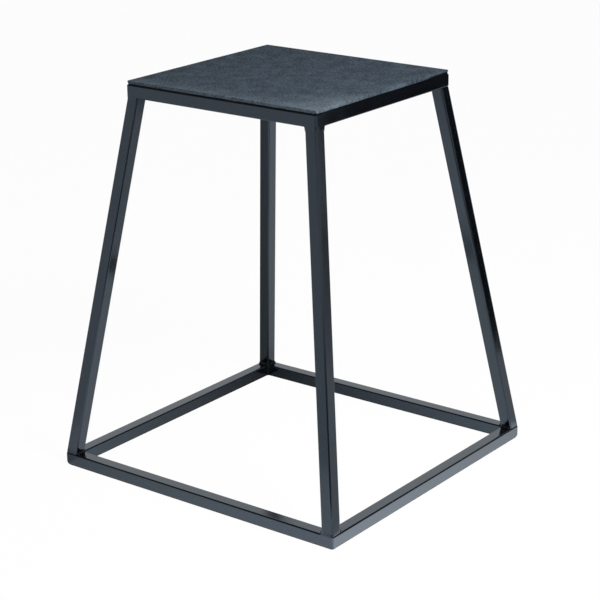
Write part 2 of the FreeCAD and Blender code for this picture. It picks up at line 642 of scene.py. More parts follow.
def finished(form: Form, name: str) -> Mesh:
    """Turn a form's faces outwards and make it a mesh.

    Args:
        form: The form, which is freed.
        name: Name of the mesh.

    Returns:
        The mesh.
    """
    bmesh.ops.recalc_face_normals(form, faces=form.faces[:])
    mesh = bpy.data.meshes.new(name)
    form.to_mesh(mesh)
    form.free()
    return mesh


def tube_mesh(name: str, outer: Sequence[Ring], bore: Sequence[Ring]) -> Mesh:
    """Make a hollow tube from rings of points along it.

    Args:
        name: Name of the mesh.
        outer: Rings of the outside, from end to end.
        bore: Rings of the bore, from end to end.

    Returns:
        A closed mesh that is smooth along the tube and sharp at its ends.
    """
    form = bmesh.new()
    outer_rows = [[form.verts.new(point) for point in ring] for ring in outer]
    bore_rows = [[form.verts.new(point) for point in ring] for ring in bore]
    bridge(form, outer_rows)
    bridge(form, bore_rows)
    for end in (0, -1):
        bridge(form, [outer_rows[end], bore_rows[end]])
    ends = {vert for rows in (outer_rows, bore_rows) for end in (0, -1) for vert in rows[end]}
    smooth_faces(form)
    for edge in form.edges:
        edge.smooth = not all(vert in ends for vert in edge.verts)
    return finished(form, name)


def face_outwards(mesh: Mesh) -> None:
    """Turn the faces of a mesh's closed shells outwards.

    Args:
        mesh: The mesh to mend.
    """
    form = bmesh.new()
    form.from_mesh(mesh)
    bmesh.ops.recalc_face_normals(form, faces=form.faces[:])
    form.to_mesh(mesh)
    form.free()


@dataclass(frozen=True)
class MitredFrame:
    """Frame of four mitred rails, with outer corners that are ground round.

    The rings at corner_backs let the underside bend where a corner is ground round from below as well.
    """

    name: str
    size: Vector
    level: float
    section: TubeSection
    corner_radius: float = 4.0 * MM
    seam: float = 0.4 * MM
    corner_steps: int = 5
    corner_backs: Sequence[float] = (2.0 * MM, 4.0 * MM, 6.0 * MM)
    round_below: Sequence[Corner] = ()
    below_radius: float = 11.0 * MM

    def node(self, side: Side) -> str:
        """Name of the node that the rail on one side stands for."""
        return f"{self.name}_rail_{side.name.lower()}"

    def run(self, side: Side) -> float:
        """Outside length of the rail on one side."""
        return self.size.x if side.along_x else self.size.y

    def place(self, side: Side) -> Matrix:
        """Find where a rail goes that is drawn with its outer face on y = 0.

        Args:
            side: Side of the frame.

        Returns:
            The matrix that carries the rail there.
        """
        depth = self.size.y if side.along_x else self.size.x
        turn = Matrix.Rotation(math.radians(side.value), 4, "Z")
        return turn @ Matrix.Translation((0, -depth / 2, self.level))

    def end_ring(self, run: float, end: int, angle: float, shrink: float = 0.0, back: float = 0.0) -> Ring:
        """Ring of a rail parallel to its mitre, bent in with the ground corner.

        Args:
            run: Outside length of the rail.
            end: -1 for the left end and 1 for the right end, seen from outside.
            angle: Angle round the ground corner, from 0 to 45 degrees, in radians.
            shrink: How far the ring is drawn in, for the seam.
            back: How far the ring stands back along the rail.

        Returns:
            The ring's points, with the outer face on y = 0.
        """
        drawn_in = self.corner_radius * (1 - math.cos(angle))
        short = self.corner_radius * (math.cos(angle) - math.sin(angle)) + (self.seam - shrink) + back
        ring = []
        for point in self.section.outside(shrink):
            across = point.x + self.section.size / 2
            across += drawn_in * (1 - across / self.section.size)
            along = end * (run / 2 - across - short)
            ring.append(Vector((along, across, point.y + self.section.size / 2)))
        return ring

    def bore_ring(self, run: float, end: int) -> Ring:
        """Ring of a rail's bore on its mitre.

        Args:
            run: Outside length of the rail.
            end: -1 for the left end and 1 for the right end, seen from outside.

        Returns:
            The ring's points, with the outer face on y = 0.
        """
        half = self.section.size / 2
        return [Vector((end * (run / 2 - point.x - half), point.x + half, point.y + half))
                for point in self.section.bore()]

    def rail(self, side: Side) -> Mesh:
        """Make the rail on one side.

        Args:
            side: Side of the frame.

        Returns:
            The rail's mesh, in place.
        """
        run = self.run(side)
        eighth = math.radians(45)
        angles = [eighth * step / self.corner_steps for step in range(self.corner_steps + 1)]
        left = [self.end_ring(run, -1, angle) for angle in reversed(angles)]
        right = [self.end_ring(run, 1, angle) for angle in angles]
        seams = [self.end_ring(run, end, eighth, self.seam) for end in (-1, 1)]
        backs = (self.section.hold, *self.corner_backs)
        left_holds = [self.end_ring(run, -1, 0.0, 0.0, back) for back in backs]
        right_holds = [self.end_ring(run, 1, 0.0, 0.0, back) for back in reversed(backs)]
        outer = [seams[0], *left, *left_holds, *right_holds, *right, seams[1]]
        bore = [self.bore_ring(run, end) for end in (-1, 1)]
        mesh = tube_mesh(self.node(side), outer, bore)
        mesh.transform(self.place(side))
        self.round_corners_below(mesh)
        return mesh

    def round_corners_below(self, mesh: Mesh) -> None:
        """Lift a rail's underside where a corner of the frame is ground round below.

        Args:
            mesh: The rail's mesh, in place.
        """
        radius = self.below_radius
        for corner in self.round_below:
            side = Vector(corner.value)
            for vert in mesh.vertices:
                away = max(self.size.x / 2 - side.x * vert.co.x, self.size.y / 2 - side.y * vert.co.y)
                if away < radius:
                    lift = radius - math.sqrt(radius ** 2 - (radius - max(away, 0.0)) ** 2)
                    vert.co.z += lift * (1 - (vert.co.z - self.level) / self.section.size)

    def build(self, paint: Material) -> None:
        """Make and dress the four rails.

        Args:
            paint: Their finish.
        """
        for side in Side:
            node = self.node(side)
            add_piece(f"{node}_painted", self.rail(side), paint, Slot.FRAME, node)


@dataclass(frozen=True)
class Leg:
    """One leaning leg, cut level at both ends, whose outer faces stand back from the frames."""

    SETBACK = 1.2 * MM

    corner: Corner
    foot: Vector
    head: Vector
    section: TubeSection
    seam: float = 0.3 * MM

    @classmethod
    def at(cls, corner: Corner, sizes: BoxSizes, section: TubeSection) -> "Leg":
        """Set a leg in a corner of the box.

        Args:
            corner: Corner that the leg stands in.
            sizes: Sizes of the box.
            section: Section of its tube.

        Returns:
            The leg.
        """
        inset = cls.SETBACK + section.size / 2
        foot = corner.inside(sizes.base, inset, inset, sizes.tube)
        head = corner.inside(sizes.top, inset, inset, sizes.head_level)
        return cls(corner, foot, head, section)

    def joint(self, end: LegEnd) -> Vector:
        """Middle of the leg's cut at one of its ends."""
        return self.foot if end is LegEnd.FOOT else self.head

    @property
    def lean(self) -> Vector:
        """Shift of the leg for each metre of height."""
        return (self.head - self.foot) / (self.head.z - self.foot.z)

    def ring(self, level: float, outline: Sequence[Vector]) -> Ring:
        """Cut an outline of the tube at a level.

        Args:
            level: Height of the cut.
            outline: Points of the section.

        Returns:
            The points of the cut.
        """
        turn = UP.rotation_difference(self.lean)
        along_x = turn @ Vector((1, 0, 0))
        along_y = turn @ Vector((0, 1, 0))
        centre = self.foot + self.lean * (level - self.foot.z)
        ring = []
        for point in outline:
            offset = along_x * point.x + along_y * point.y
            ring.append(centre + offset - self.lean * offset.z)
        return ring

    def mesh(self) -> Mesh:
        """Make the leg's mesh.

        Returns:
            The mesh, in place.
        """
        low, high = self.foot.z, self.head.z
        full = self.section.outside()
        drawn_in = self.section.outside(self.seam)
        held = self.seam + self.section.hold
        levels = (low + self.seam, low + held, high - held, high - self.seam)
        sides = [self.ring(level, full) for level in levels]
        outer = [self.ring(low, drawn_in), *sides, self.ring(high, drawn_in)]
        bore = [self.ring(level, self.section.bore()) for level in (low, high)]
        return tube_mesh(f"leg_{self.corner.name.lower()}", outer, bore)

    def build(self, paint: Material) -> None:
        """Make and dress the leg."""
        node = f"leg_{self.corner.name.lower()}"
        add_piece(f"{node}_painted", self.mesh(), paint, Slot.FRAME, node)


class Station(NamedTuple):
    """Place on a ground seam's path round a corner, in the corner's own plan.

    It holds the turning centre's two distances from the corner, the turn in radians, and the share of the
    seam's height up the leg.
    """

    centre_u: float
    centre_v: float
    turn: float
    share: float


@dataclass(frozen=True)
class GroundSeam:
    """Weld on a leg's two outer faces that is ground smooth: a skin that fills the joint's groove.

    PROFILE runs from the rail's face to the leg's, as heights from the joint and depths behind the rail's
    face, in millimetres. Turns are in degrees.
    """

    PROFILE = ((-3.2, 0.03), (-2.5, 0.03), (-1.6, 0.12), (-0.5, 0.33), (0.9, 0.6),
               (2.6, 0.78), (4.4, 0.92), (6.0, 1.02), (7.2, 1.15))
    QUARTER = 90
    TURN_STEP = 15
    RUN_OUT_START = 60
    RUN_OUT_STEP = 10
    FILLET_STEPS = 6

    leg: Leg
    end: LegEnd
    frame_size: Vector
    corner_radius: float = 4.0 * MM
    leg_edge: float = 26.0 * MM
    rail_edge: float = 3.0 * MM
    both_faces: bool = True
    fillet: float = 3.0 * MM
    fillet_share: float = 0.45
    fillet_start: float = 0.5 * MM
    back_depth: float = 3.4 * MM
    edge_cover: float = 0.05 * MM
    leg_slope: float = 0.05

    def fade(self, steps: int) -> list[float]:
        """Shares of the seam's height along a fillet that runs out in steps."""
        return [self.fillet_share * (1 - step / steps) ** 2 for step in range(steps + 1)]

    def stations(self) -> list[Station]:
        """Lay out the seam's path round the corner, with a fillet where it runs out beside the leg.

        Returns:
            The stations of the path.
        """
        radius = self.corner_radius
        steps = self.FILLET_STEPS
        beside = [(self.leg_edge + self.fillet * step / steps, share)
                  for step, share in enumerate(self.fade(steps))]
        straight = [*reversed(beside), (self.leg_edge - self.fillet_start, 1.0), (self.leg_edge / 2, 1.0)]
        first = [Station(along, radius, 0.0, share) for along, share in straight]
        turns = range(0, self.QUARTER + 1, self.TURN_STEP)
        arc = [Station(radius, radius, math.radians(turn), 1.0) for turn in turns]
        if self.both_faces:
            end_turn = math.radians(self.QUARTER)
            last = [Station(radius, along, end_turn, share) for along, share in reversed(straight)]
            return first + arc + last
        before = [station for station in arc if station.turn < math.radians(self.RUN_OUT_START)]
        fading = range(self.RUN_OUT_START, self.QUARTER + 1, self.RUN_OUT_STEP)
        last = [Station(radius, radius, math.radians(turn), share)
                for turn, share in zip(fading, self.fade(len(fading) - 1))]
        return first + before + last

    def rounding(self, along: float) -> float:
        """Measure the rail's own rounded edge.

        Args:
            along: Height from the joint.

        Returns:
            Depth of the edge behind the rail's face there.
        """
        if along >= 0:
            return self.rail_edge + self.leg_slope * along
        below = max(self.rail_edge + along, 0.0)
        return self.rail_edge - math.sqrt(self.rail_edge ** 2 - below ** 2) + self.edge_cover

    def ring(self, station: Station) -> Ring:
        """Set the seam's section up at one station of its path.

        Args:
            station: What the path gives there.

        Returns:
            The points of the section.
        """
        joint = self.leg.joint(self.end)
        lean = abs(self.leg.lean.x) * self.end.value
        section = [(along * MM, depth * MM) for along, depth in self.PROFILE]
        section += [(section[-1][0], self.back_depth), (section[0][0], self.back_depth)]
        filled = min(1.0, math.sqrt(station.share / self.fillet_share))
        ring = []
        for along, depth in section:
            up = along * station.share if along > 0 else along
            if depth < self.back_depth:
                depth = depth * filled + self.rounding(along) * (1 - filled)
            reach = self.corner_radius - depth
            inward = max(up, 0.0) * lean
            u = station.centre_u - reach * math.sin(station.turn) + inward
            v = station.centre_v - reach * math.cos(station.turn) + inward
            ring.append(self.leg.corner.inside(self.frame_size, u, v, joint.z + self.end.value * up))
        return ring

    def build(self, paint: Material) -> None:
        """Make and dress the seam.

        Args:
            paint: Its finish.
        """
        name = f"ground_{self.end.name.lower()}_seam_{self.leg.corner.name.lower()}"
        form = bmesh.new()
        rows = [[form.verts.new(point) for point in self.ring(station)] for station in self.stations()]
        bridge(form, rows, capped=True)
        smooth_faces(form)
        add_piece(name, finished(form, name), paint, Slot.WELD)


@dataclass(frozen=True)
class BeadRun:
    """One straight run of weld: its two ends, and the directions in which its two toes lie."""

    start: Vector
    end: Vector
    toe: Vector
    heel: Vector


class BeadNodes:
    """Geometry Nodes tree that lays overlapping ripples of weld along runs."""

    SEGMENTS = 12
    RINGS = 6
    MERGE_DISTANCE = 0.01 * MM
    LEAST_SQUARE = 1e-6
    RANDOM_LOW = 2
    RANDOM_HIGH = 3
    RANDOM = 1
    INPUTS = (
        ("Size", "NodeSocketFloat"),
        ("Hollow", "NodeSocketFloat"),
        ("Pitch", "NodeSocketFloat"),
        ("Overlap", "NodeSocketFloat"),
        ("Jitter", "NodeSocketFloat"),
        ("Seed", "NodeSocketInt"),
        ("Material", "NodeSocketMaterial"),
    )

    def __init__(self) -> None:
        """Build the tree once, for every bead of the box."""
        self.tree = bpy.data.node_groups.new("weld_ripples", "GeometryNodeTree")
        self.board = NodeBoard(self.tree)
        face = self.tree.interface
        face.new_socket(name="Runs", in_out="INPUT", socket_type="NodeSocketGeometry")
        self.sockets = {name: face.new_socket(name=name, in_out="INPUT", socket_type=kind)
                        for name, kind in self.INPUTS}
        face.new_socket(name="Beads", in_out="OUTPUT", socket_type="NodeSocketGeometry")
        self.given = self.board.add("NodeGroupInput").outputs
        self.wire()

    def store(self, geometry: Socket, name: str, value: Socket, kind: str = "FLOAT_VECTOR") -> Socket:
        """Keep a value on the points under a name.

        Args:
            geometry: Geometry that keeps it.
            name: Name of the attribute.
            value: Its value.
            kind: Its data type.

        Returns:
            The geometry with the attribute.
        """
        inputs = {"Geometry": geometry, "Name": name, "Value": value}
        node = self.board.add("GeometryNodeStoreNamedAttribute", inputs, data_type=kind, domain="POINT")
        return node.outputs["Geometry"]

    def kept(self, name: str, kind: str = "FLOAT_VECTOR") -> Socket:
        """Read a named attribute of a kind back."""
        node = self.board.add("GeometryNodeInputNamedAttribute", {"Name": name}, data_type=kind)
        return node.outputs["Attribute"]

    def ripple(self) -> Socket:
        """Make one ripple: a quarter of a lens whose face is drawn in between its toes.

        Returns:
            The ripple's mesh, with its own coordinates kept as "local".
        """
        board = self.board
        ball_inputs = {"Segments": self.SEGMENTS, "Rings": self.RINGS, "Radius": 1.0}
        ball = board.add("GeometryNodeMeshUVSphere", ball_inputs)
        split = board.parts(board.add("GeometryNodeInputPosition").outputs[0])
        toe = board.math("MAXIMUM", split["X"], 0.0)
        heel = board.math("MAXIMUM", split["Y"], 0.0)
        square = board.math("ADD", board.math("MULTIPLY", toe, toe), board.math("MULTIPLY", heel, heel))
        safe_square = board.math("MAXIMUM", square, self.LEAST_SQUARE)
        middle = board.math("DIVIDE", board.math("MULTIPLY", toe, heel), safe_square)
        drawn_in = board.math("MULTIPLY", board.math("MULTIPLY", middle, 2.0), self.given["Hollow"])
        keep = board.math("SUBTRACT", 1.0, drawn_in)
        local = board.add("ShaderNodeCombineXYZ", {
            "X": board.math("MULTIPLY", toe, keep),
            "Y": board.math("MULTIPLY", heel, keep),
            "Z": split["Z"],
        })
        return self.store(ball.outputs["Mesh"], "local", local.outputs[0])

    def centres(self) -> Socket:
        """Space the ripples' centres along the runs.

        Returns:
            Curves whose points carry each ripple's place, direction and swell.
        """
        board = self.board
        curve = board.add("GeometryNodeMeshToCurve", {"Mesh": self.given["Runs"]}).outputs["Curve"]
        spacing = {"Curve": curve, "Length": self.given["Pitch"]}
        points = board.add("GeometryNodeResampleCurve", spacing, mode="LENGTH").outputs["Curve"]
        for name, kind in (("along", "GeometryNodeInputTangent"), ("centre", "GeometryNodeInputPosition")):
            points = self.store(points, name, board.add(kind).outputs[0])
        least = board.math("SUBTRACT", 1.0, self.given["Jitter"])
        limits = {self.RANDOM_LOW: least, self.RANDOM_HIGH: 1.0, "Seed": self.given["Seed"]}
        swell = board.add("FunctionNodeRandomValue", limits, data_type="FLOAT")
        return self.store(points, "swell", swell.outputs[self.RANDOM], "FLOAT")

    def wire(self) -> None:
        """Link the tree: ripples on their centres, set in the corner that they fill."""
        board = self.board
        inputs = {"Points": self.centres(), "Instance": self.ripple()}
        laid = board.add("GeometryNodeInstanceOnPoints", inputs)
        real = board.add("GeometryNodeRealizeInstances", {0: laid.outputs[0]})
        split = board.parts(self.kept("local"))
        size = board.math("MULTIPLY", self.given["Size"], self.kept("swell", "FLOAT"))
        length = board.math("MULTIPLY", self.given["Pitch"], self.given["Overlap"])
        place = self.kept("centre")
        for name, axis, reach in (("toe", "X", size), ("heel", "Y", size), ("along", "Z", length)):
            distance = board.math("MULTIPLY", split[axis], reach)
            shift = board.vector("SCALE", {0: self.kept(name), "Scale": distance})
            place = board.vector("ADD", {0: place, 1: shift})
        shaped = board.add("GeometryNodeSetPosition", {"Geometry": real.outputs[0], "Position": place})
        last_steps = (
            ("GeometryNodeMergeByDistance", {"Distance": self.MERGE_DISTANCE}),
            ("GeometryNodeSetShadeSmooth", {}),
            ("GeometryNodeSetMaterial", {"Material": self.given["Material"]}),
            ("NodeGroupOutput", {}),
        )
        for kind, inputs in last_steps:
            shaped = board.add(kind, {0: shaped.outputs[0], **inputs})

    def lay(self, name: str, runs: Sequence[BeadRun], settings: dict[str, object]) -> Mesh:
        """Lay beads along runs.

        Args:
            name: Name of the mesh.
            runs: Runs of weld.
            settings: Values of the tree's inputs, by name.

        Returns:
            The beads as a plain mesh.
        """
        lines = bpy.data.meshes.new(f"{name}_runs")
        ends = [point for run in runs for point in (run.start, run.end)]
        lines.from_pydata(ends, [(2 * index, 2 * index + 1) for index in range(len(runs))], [])
        for label in ("toe", "heel"):
            ways = [getattr(run, label).normalized() for run in runs for _ in range(2)]
            values = [number for way in ways for number in way]
            lines.attributes.new(label, "FLOAT_VECTOR", "POINT").data.foreach_set("vector", values)
        holder = bpy.data.objects.new(f"{name}_holder", lines)
        bpy.context.scene.collection.objects.link(holder)
        modifier = holder.modifiers.new("weld_ripples", "NODES")
        modifier.node_group = self.tree
        for label, value in settings.items():
            modifier[self.sockets[label].identifier] = value
        evaluated = holder.evaluated_get(bpy.context.evaluated_depsgraph_get())
        mesh = bpy.data.meshes.new_from_object(evaluated)
        mesh.name = name
        bpy.data.objects.remove(holder)
        bpy.data.meshes.remove(lines)
        face_outwards(mesh)
        return mesh


@dataclass(frozen=True)
class BeadStyle:
    """How a bead is laid: its toe length, how far its face is drawn in, and its ripples."""

    size: float
    hollow: float
    pitch: float
    overlap: float = 1.1
    jitter: float = 0.14


@dataclass(frozen=True)
class Welds:
    """All the weld beads of the box."""

    FRAME_SEED = 11

    sizes: BoxSizes
    legs: Sequence[Leg]
    section: TubeSection
    foot_style: BeadStyle = BeadStyle(size=7.0 * MM, hollow=0.12, pitch=3.2 * MM, jitter=0.3)
    head_style: BeadStyle = BeadStyle(size=2.8 * MM, hollow=0.42, pitch=1.8 * MM, overlap=1.3, jitter=0.06)
    corner_style: BeadStyle = BeadStyle(size=4.0 * MM, hollow=0.3, pitch=2.2 * MM)
    stitch_style: BeadStyle = BeadStyle(size=5.0 * MM, hollow=0.15, pitch=2.6 * MM)
    outer_margin: float = 6.2 * MM
    inner_margin: float = 4.0 * MM
    stitch_length: float = 30.0 * MM
    stitches_per_side: int = 2

    def leg_runs(self, leg: Leg, end: LegEnd) -> list[BeadRun]:
        """Runs on a leg's two inner faces, at one of its ends.

        Args:
            leg: The leg.
            end: Its end.

        Returns:
            The two runs.
        """
        frame_size = self.sizes.base if end is LegEnd.FOOT else self.sizes.top
        runs = []
        for inward_axis, along_axis in ((0, 1), (1, 0)):
            inward = Vector((0, 0, 0))
            inward[inward_axis] = -leg.corner.value[inward_axis]
            along = Vector((0, 0, 0))
            along[along_axis] = -leg.corner.value[along_axis]
            tilt = leg.lean * inward[inward_axis]
            face = self.section.size / 2 * math.sqrt(1 + tilt[inward_axis] ** 2)
            start = leg.joint(end) + inward * face
            outer_edge = frame_size[along_axis] / 2 - self.outer_margin
            start[along_axis] = leg.corner.value[along_axis] * outer_edge
            heel = (UP + inward * tilt[inward_axis]) * end.value
            finish = start + along * (self.section.size - self.outer_margin - self.inner_margin)
            runs.append(BeadRun(start, finish, inward, heel))
        return runs

    def corner_runs(self, size: Vector, level: float) -> list[BeadRun]:
        """Upright runs in the inside corners of a frame.

        Args:
            size: Outside length and width of the frame.
            level: Height of its underside.

        Returns:
            The four runs.
        """
        runs = []
        inset = self.section.size
        margin = self.section.edge_radius
        for corner in Corner:
            side_x, side_y = corner.value
            low = corner.inside(size, inset, inset, level + margin)
            high = low + UP * (self.section.size - 2 * margin)
            runs.append(BeadRun(low, high, Vector((-side_x, 0, 0)), Vector((0, -side_y, 0))))
        return runs

    def stitch_runs(self) -> list[BeadRun]:
        """Short runs under the deck plate, on the top rails' inner faces.

        Returns:
            The runs of all four sides.
        """
        runs = []
        for side in Side:
            turn = Matrix.Rotation(math.radians(side.value), 3, "Z")
            length, depth = self.sizes.top if side.along_x else reversed(self.sizes.top)
            step = (length - 2 * self.section.size) / self.stitches_per_side
            for index in range(self.stitches_per_side):
                middle = (index - (self.stitches_per_side - 1) / 2) * step
                inner = -depth / 2 + self.section.size
                start = Vector((middle - self.stitch_length / 2, inner, self.sizes.frame_top))
                end = start + Vector((self.stitch_length, 0, 0))
                runs.append(BeadRun(turn @ start, turn @ end, turn @ Vector((0, 1, 0)), -UP))
        return runs

    def lay(self, nodes: BeadNodes, node: str, runs: Sequence[BeadRun], style: BeadStyle, seed: int,
            paint: Material) -> None:
        """Lay and dress the beads of one node.

        Args:
            nodes: The tree that lays beads.
            node: Node of the frame that the beads replace.
            runs: Runs of weld.
            style: How they are laid.
            seed: Seed of the ripples' sizes.
            paint: Their finish.
        """
        settings = {label.capitalize(): value for label, value in asdict(style).items()}
        settings.update(Seed=seed, Material=paint)
        mesh = nodes.lay(f"{node}_beads", runs, settings)
        add_piece(f"{node}_beads", mesh, paint, Slot.WELD, node)

    def ground_seams(self, leg: Leg) -> list[GroundSeam]:
        """List the seams of a leg that are ground smooth: at the front heads and at the near foot.

        Args:
            leg: The leg.

        Returns:
            Its ground seams.
        """
        if leg.corner is Corner.FRONT_LEFT:
            return [GroundSeam(leg, LegEnd.HEAD, self.sizes.top, leg_edge=23.2 * MM, fillet=0.8 * MM)]
        if leg.corner is Corner.FRONT_RIGHT:
            head = GroundSeam(leg, LegEnd.HEAD, self.sizes.top)
            return [head, GroundSeam(leg, LegEnd.FOOT, self.sizes.base, both_faces=False)]
        return []

    def build(self, paint: Material, smooth_paint: Material) -> None:
        """Lay every bead of the box, with the ground seams.

        Args:
            paint: Finish of the rippled beads.
            smooth_paint: Finish of the finer beads at the heads, and of the ground seams.
        """
        nodes = BeadNodes()
        for seed, leg in enumerate(self.legs):
            name = leg.corner.name.lower()
            foot_runs = self.leg_runs(leg, LegEnd.FOOT)
            head_runs = self.leg_runs(leg, LegEnd.HEAD)
            self.lay(nodes, f"foot_welds_{name}", foot_runs, self.foot_style, seed, paint)
            self.lay(nodes, f"head_welds_{name}", head_runs, self.head_style, seed, smooth_paint)
            for seam in self.ground_seams(leg):
                seam.build(smooth_paint)
        of_frames = (
            ("base_corner_welds", self.corner_runs(self.sizes.base, 0.0), self.corner_style),
            ("top_corner_welds", self.corner_runs(self.sizes.top, self.sizes.head_level), self.corner_style),
            ("deck_stitch_welds", self.stitch_runs(), self.stitch_style),
        )
        for seed, (node, runs, style) in enumerate(of_frames, self.FRAME_SEED):
            self.lay(nodes, node, runs, style, seed, paint)


@dataclass(frozen=True)
class Deck:
    """Deck plate and the rubber mat on it, whose front and right edges hang down as flaps."""

    RIM_ANGLE = math.radians(60)

    cells_x: int = 84
    cells_y: int = 80
    thickness: float = 3.8 * MM
    edge_round: float = 0.8 * MM
    edge_steps: int = 3
    wave: float = 0.1 * MM
    waves_per_metre: float = 9.0
    front_lift: float = 0.1 * MM
    lift_reach: float = 30.0 * MM
    front_drop: float = 2.0 * MM
    right_drop: float = 2.4 * MM
    right_run_out: Pair = (0.8, 0.88)
    flap_inset: Pair = (0.05 * MM, 0.45 * MM)
    flap_margin: float = 2.0 * MM
    hem_wave: float = 0.5 * MM
    hem_waves_per_metre: float = 120.0

    def lift(self, x: float, y: float) -> float:
        """Height that the mat stands off the plate, along the middle of its front edge.

        Args:
            x: Place along the box.
            y: Place across the box.

        Returns:
            The rise in metres.
        """
        low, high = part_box("rubber_mat")
        near_edge = max(0.0, 1.0 - (y - low.y) / self.lift_reach)
        middle = max(0.0, math.cos(math.pi * x / (high.x - low.x)))
        return self.front_lift * near_edge ** 2 * middle

    def ripple(self, x: float, y: float) -> float:
        """Unevenness of the mat's top at a place."""
        return self.wave * noise.noise(Vector((x, y, 0.0)) * self.waves_per_metre)

    def right_hang(self, share: float) -> float:
        """Share of the right flap that hangs at a share of its length: it runs out near the back corner."""
        start, end = self.right_run_out
        return min(1.0, max(0.0, (end - share) / (end - start)))

    def hang_edge(self, form: Form, side: Side) -> None:
        """Hang the mat's front or right edge a little over the plate's edge.

        Args:
            form: Receives the flap.
            side: Front or right.
        """
        low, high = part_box("rubber_mat")
        front = side is Side.FRONT
        outer, inner = (low.y + inset if front else high.x - inset for inset in self.flap_inset)
        first, span = (low.x, high.x - low.x) if front else (low.y, high.y - low.y)
        drop = self.front_drop if front else self.right_drop
        top = low.z + self.thickness / 2
        rows = []
        for step in range(self.cells_y + 1):
            share = step / self.cells_y
            along = first + self.flap_margin + (span - 2 * self.flap_margin) * share
            wave = noise.noise(Vector((0.0, along, 0.0)) * self.hem_waves_per_metre)
            hang = drop - self.hem_wave * wave
            hem = low.z - hang * (1.0 if front else self.right_hang(share))
            ring = [(outer, top), (inner, top), (inner, hem), (outer, hem)]
            points = [(along, away, z) if front else (away, along, z) for away, z in ring]
            rows.append([form.verts.new(point) for point in points])
        bridge(form, rows, capped=True)

    def mat_mesh(self) -> Mesh:
        """Make the mat: a thin sheet with rounded edges and an uneven top.

        Returns:
            The mat's mesh.
        """
        low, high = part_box("rubber_mat")
        form = bmesh.new()
        bmesh.ops.create_grid(form, x_segments=self.cells_x, y_segments=self.cells_y, size=0.5)
        span = high - low
        for vert in form.verts:
            vert.co = Vector((low.x + span.x * (vert.co.x + 0.5), low.y + span.y * (vert.co.y + 0.5), 0.0))
        sheet = bmesh.ops.extrude_face_region(form, geom=form.faces[:])
        below = {item for item in sheet["geom"] if isinstance(item, Vert)}
        for vert in form.verts:
            x, y = vert.co.x, vert.co.y
            rise = 0.0 if vert in below else self.thickness + self.ripple(x, y)
            vert.co.z = low.z + self.lift(x, y) + rise
        bmesh.ops.recalc_face_normals(form, faces=form.faces[:])
        rim = [edge for edge in form.edges if edge.is_manifold and edge.calc_face_angle() > self.RIM_ANGLE]
        bmesh.ops.bevel(form, geom=rim, offset=self.edge_round, segments=self.edge_steps, profile=0.5,
                        affect="EDGES")
        smooth_faces(form)
        self.hang_edge(form, Side.FRONT)
        self.hang_edge(form, Side.RIGHT)
        return finished(form, "rubber_mat_grained")

    def build(self, paint: Material, rubber: Material) -> None:
        """Dress the plate's own node, and make and dress the mat.

        Args:
            paint: Finish of the plate.
            rubber: Finish of the mat.
        """
        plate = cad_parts["deck_plate"]
        for slot in plate.material_slots:
            slot.material = paint
        LOG.info("deck_plate: dressed")
        add_piece("rubber_mat_grained", self.mat_mesh(), rubber, Slot.MAT, "rubber_mat")


@dataclass(frozen=True)
class Lamp:
    """One soft lamp of the studio."""

    name: str
    place: Vector
    aim: Vector
    size: float
    watts: float

    def build(self) -> None:
        """Hang the lamp."""
        light = bpy.data.lights.new(self.name, "AREA")
        light.shape = "DISK"
        light.size = self.size
        light.energy = self.watts
        lamp = bpy.data.objects.new(self.name, light)
        lamp.location = self.place
        lamp.rotation_euler = (self.aim - self.place).to_track_quat("-Z", "Y").to_euler()
        lamp.visible_glossy = False
        bpy.context.scene.collection.objects.link(lamp)


@dataclass(frozen=True)
class Card:
    """Plain card of the studio that only reflections see, with a grey at each corner."""

    name: str
    corners: Sequence[Point]
    greys: Sequence[float]

    @classmethod
    def flat(cls, name: str, level: float, *corners: Point) -> "Card":
        """Lay a card flat at a level, with the X, Y and grey of each corner."""
        return cls(name, [(x, y, level) for x, y, _ in corners], [grey for _, _, grey in corners])

    @classmethod
    def even(cls, name: str, level: float, grey: float, *corners: Pair) -> "Card":
        """Lay a card of one grey flat at a level, with the X and Y of each corner."""
        return cls.flat(name, level, *((x, y, grey) for x, y in corners))

    @classmethod
    def upright(cls, name: str, start: Pair, end: Pair, heights: Pair, grey: float) -> "Card":
        """Stand a card of one grey up, with the X and Y of its two sides and its lower and upper height."""
        low, high = heights
        return cls(name, [(*start, low), (*end, low), (*end, high), (*start, high)], [grey] * 4)

    def build(self, finish: Material) -> None:
        """Set the card up.

        Args:
            finish: The cards' finish.
        """
        mesh = bpy.data.meshes.new(self.name)
        mesh.from_pydata(self.corners, [], [tuple(range(len(self.corners)))])
        mesh.attributes.new(CARDS.attribute, "FLOAT", "POINT").data.foreach_set("value", self.greys)
        card = add_stage(self.name, mesh, finish)
        card.visible_camera = False
        card.visible_diffuse = False
        card.visible_shadow = False
        card.visible_transmission = False


